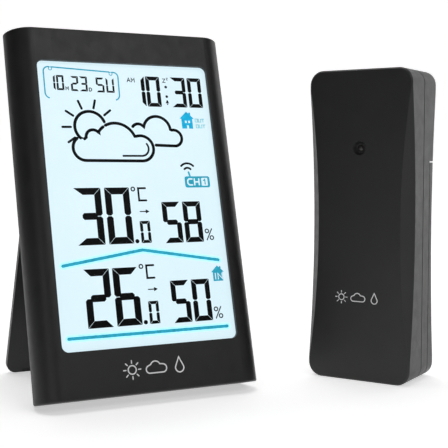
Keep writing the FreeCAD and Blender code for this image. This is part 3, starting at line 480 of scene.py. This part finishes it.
def clock_face():
    """The time, with a colon, a small alarm bell under it, AM and the snooze marks."""
    out = digits("1030", (2.5, 9.2, 20.6, 27.8), 114.3, CLOCK)
    out += disc(18.0, 122.9, 0.58) + disc(18.0, 118.8, 0.58)
    right_side = ((0.8, 115.9), (0.45, 116.5), (0.3, 117.2))
    left_side = reversed(right_side)
    out += polygon([(18.0 + half, v) for half, v in right_side] + [(18.0 - half, v) for half, v in left_side])
    out += disc(18.0, 115.5, 0.3)
    out += word("AM", 1.3, 124.6, 1.6, 0.36)
    out += word("Z", 16.9, 124.9, 1.5, 0.32) + word("Z", 18.6, 126.0, 0.8, 0.24)
    return out


def date_line():
    out = digits("10", (-31.8, -28.3), 120.1, MONTH, 0.06)
    out += digits("23", (-22.5, -18.8), 119.9, DAY, 0.06)
    out += digits("SU", (-12.1, -7.9), 119.7, WEEKDAY, 0.06)
    out += word("M", -24.7, 120.3, 1.3, 0.34) + word("D", -15.1, 120.1, 1.3, 0.34)
    return out


def bracket():
    """The two-ring calendar bracket over the date."""
    line = 0.55
    left = [*arc(-31.0, 118.9, 2.2, 250, 180, 8), *arc(-31.2, 127.6, 2.0, 180, 90, 10), (-30.9, 129.6)]
    out = stroke(left, line)
    out += stroke([(-29.9, 129.55), (-6.1, 128.4)], line)
    out += stroke([(-4.9, 128.3), *arc(-4.4, 126.4, 1.9, 80, 0, 10), *arc(-4.9, 118.9, 2.3, 0, -70, 8)], line)
    return out + ring(-30.4, 128.9, 0.65, 0.3, 18) + ring(-5.5, 127.7, 0.65, 0.3, 18)


def block(u0, u1, v0, v1):
    return polygon([(u0, v0), (u1, v0), (u1, v1), (u0, v1)])


def house(u, v, w, h):
    """A house with eaves and, on the right of its roof, a chimney."""
    eaves = v + h * 0.58
    return polygon(
        [
            (u + w * 0.12, v),
            (u + w * 0.88, v),
            (u + w * 0.88, eaves),
            (u + w, eaves),
            (u + w * 0.78, v + h * 0.78),
            (u + w * 0.78, v + h * 0.95),
            (u + w * 0.66, v + h * 0.95),
            (u + w * 0.66, v + h * 0.88),
            (u + w * 0.5, v + h),
            (u, eaves),
            (u + w * 0.12, eaves),
        ]
    )


def badge_outline(u0, u1, v0, v1, r):
    """A block with round corners."""
    corners = ((u1 - r, v1 - r, 0), (u0 + r, v1 - r, 90), (u0 + r, v0 + r, 180), (u1 - r, v0 + r, 270))
    return [p for cu, cv, a in corners for p in arc(cu, cv, r, a, a + 90, 6)]


def on_lcd(name, polygons, mat, layer=0):
    """Layers lie in front of each other by a little more than an ink's thickness."""
    depth = LCD_DEPTH - LCD_LIFT - LCD_LAYER * layer
    print_on(name, console, polygons, mat, "console", depth, LCD_INK)


# A second copy of the panel with its painted glow, for the openings knocked out of the printed shapes.
PANEL_WITH_PAINTED_GLOW = painted_glow_panel()
on_lcd("lcd_climate_outdoor", climate_row(58.0, "30", "0", "58", 75.0, 0.0), BLACK, 1)
on_lcd("lcd_climate_indoor", climate_row(26.1, "26", "0", "50", 43.9, 0.2), BLACK, 1)
on_lcd("lcd_weather", weather_picture(), BLACK, 1)
on_lcd("lcd_clock", clock_face(), BLACK, 1)
on_lcd("lcd_date", date_line(), BLACK, 1)
waves = stroke(arc(23.6, 86.6, 3.8, 45, 135), 0.85) + stroke(arc(23.6, 86.6, 1.9, 45, 135), 0.85)
on_lcd("lcd_wireless", waves, BLACK, 1)

ROOF = [(-32.4, 50.4), (0.3, 55.3), (32.6, 49.9)]
SILL = [(-32.6, 22.9), (33.2, 22.9)]
# A wide pale stroke under the teal lines: painted glow round them.
on_lcd("lcd_painted_glow_halo", stroke(ROOF, 2.7) + stroke(SILL, 2.7), PAINTED_GLOW_HALO, 0)
on_lcd("lcd_lines", stroke(ROOF, 1.25) + stroke(SILL, 1.25), TEAL_INK_AND_GLOW, 1)
on_lcd("lcd_bracket", bracket(), TEAL_INK_AND_GLOW, 1)
on_lcd("lcd_house_out", house(22.6, 105.2, 6.5, 7.3), BLUE_INK_AND_GLOW, 1)
openings = block(24.9, 25.7, 107.6, 108.6) + block(26.4, 27.2, 107.6, 108.6) + block(25.6, 26.5, 105.1, 106.6)
on_lcd("lcd_house_out_openings", openings, PANEL_WITH_PAINTED_GLOW, 2)
on_lcd("lcd_out_word", word("OUT", 29.6, 108.1, 1.3, 0.38) + word("OUT", 29.8, 105.6, 1.3, 0.38), PALE_INK_AND_GLOW, 1)
badge = polygon(badge_outline(21.8, 33.0, 80.2, 84.9, 0.9)) + stroke([(23.9, 86.6), (24.4, 84.6)], 0.8)
on_lcd("lcd_badge", badge, TEAL_INK_AND_GLOW, 1)
badge_word = word("CH", 23.1, 81.3, 2.5, 0.6, 1.2) + polygon(badge_outline(29.2, 32.0, 80.9, 84.2, 0.4))
on_lcd("lcd_badge_word", badge_word, PANEL_WITH_PAINTED_GLOW, 2)
on_lcd("lcd_badge_number", word("1", 29.9, 81.6, 2.0, 0.5), TEAL_INK_AND_GLOW, 3)
on_lcd("lcd_house_in", house(28.8, 41.3, 5.7, 6.3), TEAL_INK_AND_GLOW, 1)
on_lcd("lcd_house_in_word", word("IN", 30.1, 42.1, 2.3, 0.42, 0.7), PANEL_WITH_PAINTED_GLOW, 2)


# ---------------------------------------------------------------- the marks on the cases
def weather_mark(cu, cv, s):
    """A small generic mark of size s: a sun, a cloud and a drop in a row."""
    line = 0.42 * s
    sun = (cu - 8.2 * s, cv)
    out = ring(*sun, 1.35 * s, line, 22)
    for i in range(8):
        out += stroke(ray_line(sun, 45 * i, 2.1 * s, 2.9 * s), 0.38 * s)
    base = cv - 1.6 * s
    cloud = [
        *arc(cu - 2.3 * s, base + 1.2 * s, 1.2 * s, 270, 110, 10),
        *arc(cu - 0.3 * s, base + 2.0 * s, 1.7 * s, 155, 25, 12),
        *arc(cu + 2.2 * s, base + 1.3 * s, 1.3 * s, 80, -90, 10),
    ]
    out += stroke(cloud, line, True)
    drop = [*arc(cu + 8.0 * s, cv - 0.7 * s, 1.45 * s, 150, 390, 16), (cu + 8.0 * s, cv + 2.7 * s)]
    return out + stroke(drop, line, True)


for body, face, mark in (
    ("console", console, weather_mark(0.0, 9.2, 1.2)),
    ("sensor", sensor, weather_mark(0.0, 35.0, 0.92)),
):
    print_on(body + "_mark", face, mark, SILVER, body, 0.0, MARK_INK)


# ---------------------------------------------------------------- floor, lights and camera
VIEW_TURN = math.radians(-26.36)
CAMERA_AT = (-0.17966, -0.36991, 0.09237)
CAMERA_PITCH = math.radians(3.72)
FLOOR_FRONT = -0.62
FLOOR_BACK = 0.9
BACKDROP_R = 0.6
BACKDROP_TOP = 3.0
FLOOR_HALF_WIDTH = 3.0
FLOOR_DROP = 0.00002


def sweep():
    """A floor that curves up into a backdrop."""
    profile = [(FLOOR_FRONT, 0.0), (FLOOR_BACK, 0.0)]
    for i in range(1, 11):
        a = math.radians(9 * i)
        profile.append((FLOOR_BACK + BACKDROP_R * math.sin(a), BACKDROP_R - BACKDROP_R * math.cos(a)))
    profile.append((FLOOR_BACK + BACKDROP_R, BACKDROP_TOP))
    mesh = bpy.data.meshes.new("sweep")
    bm = bmesh.new()
    sides = (-FLOOR_HALF_WIDTH, FLOOR_HALF_WIDTH)
    rows = [[bm.verts.new((x, y, z - FLOOR_DROP)) for y, z in profile] for x in sides]
    for i in range(len(profile) - 1):
        bm.faces.new([rows[0][i], rows[1][i], rows[1][i + 1], rows[0][i + 1]])
    bm.to_mesh(mesh)
    bm.free()
    for p in mesh.polygons:
        p.use_smooth = True
    obj = bpy.data.objects.new("sweep", mesh)
    bpy.context.scene.collection.objects.link(obj)
    paper = moulded("sweep_paper", (0.92, 0.92, 0.92), 0.85, grain=300.0, spread=0.01, strength=0.02)
    glow = paper.node_tree.nodes["Principled BSDF"]
    glow.inputs["Emission Color"].default_value = (1.0, 1.0, 1.0, 1.0)
    glow.inputs["Emission Strength"].default_value = 0.5
    obj.data.materials.append(paper)
    obj.rotation_euler = (0, 0, VIEW_TURN)


sweep()


def area_light(name, at, look, size, power):
    light = bpy.data.lights.new(name, "AREA")
    light.shape = "RECTANGLE"
    light.size, light.size_y = size
    light.energy = power
    obj = bpy.data.objects.new(name, light)
    obj.location = at
    obj.rotation_euler = (Vector(look) - Vector(at)).to_track_quat("-Z", "Y").to_euler()
    bpy.context.scene.collection.objects.link(obj)


area_light("upper_front", (0.30, -1.20, 0.90), (0, 0, 0.07), (0.9, 0.5), 3.7)
area_light("left_wall", (-0.85, -0.95, 0.35), (0.06, -0.03, 0.07), (0.45, 0.6), 0.9)
area_light("right_wall", (0.95, 0.12, 0.28), (0.06, -0.03, 0.07), (0.35, 0.6), 0.62)
area_light("top", (0.05, 0.25, 1.3), (0.05, 0.2, 0), (1.4, 1.4), 9.0)

# The world lights the room a little, and is white where the camera looks past the floor.
world = bpy.data.worlds.new("studio")
world.use_nodes = True
room = world.node_tree.nodes["Background"]
room.inputs["Strength"].default_value = 0.05
beyond = world.node_tree.nodes.new("ShaderNodeBackground")
beyond.inputs["Strength"].default_value = 1.0
for background in (room, beyond):
    background.inputs["Color"].default_value = (1, 1, 1, 1)
ray = world.node_tree.nodes.new("ShaderNodeLightPath")
either = world.node_tree.nodes.new("ShaderNodeMixShader")
world.node_tree.links.new(ray.outputs["Is Camera Ray"], either.inputs["Fac"])
world.node_tree.links.new(room.outputs["Background"], either.inputs[1])
world.node_tree.links.new(beyond.outputs["Background"], either.inputs[2])
world.node_tree.links.new(either.outputs["Shader"], world.node_tree.nodes["World Output"].inputs["Surface"])
bpy.context.scene.world = world
bpy.context.scene.view_settings.view_transform = "Standard"

camera = bpy.data.objects.new("camera", bpy.data.cameras.new("camera"))
camera.data.lens = 78.5
camera.data.sensor_width = 36.0
camera.location = CAMERA_AT
camera.rotation_euler = (math.radians(90) - CAMERA_PITCH, 0, VIEW_TURN)
bpy.context.scene.collection.objects.link(camera)
bpy.context.scene.camera = camera
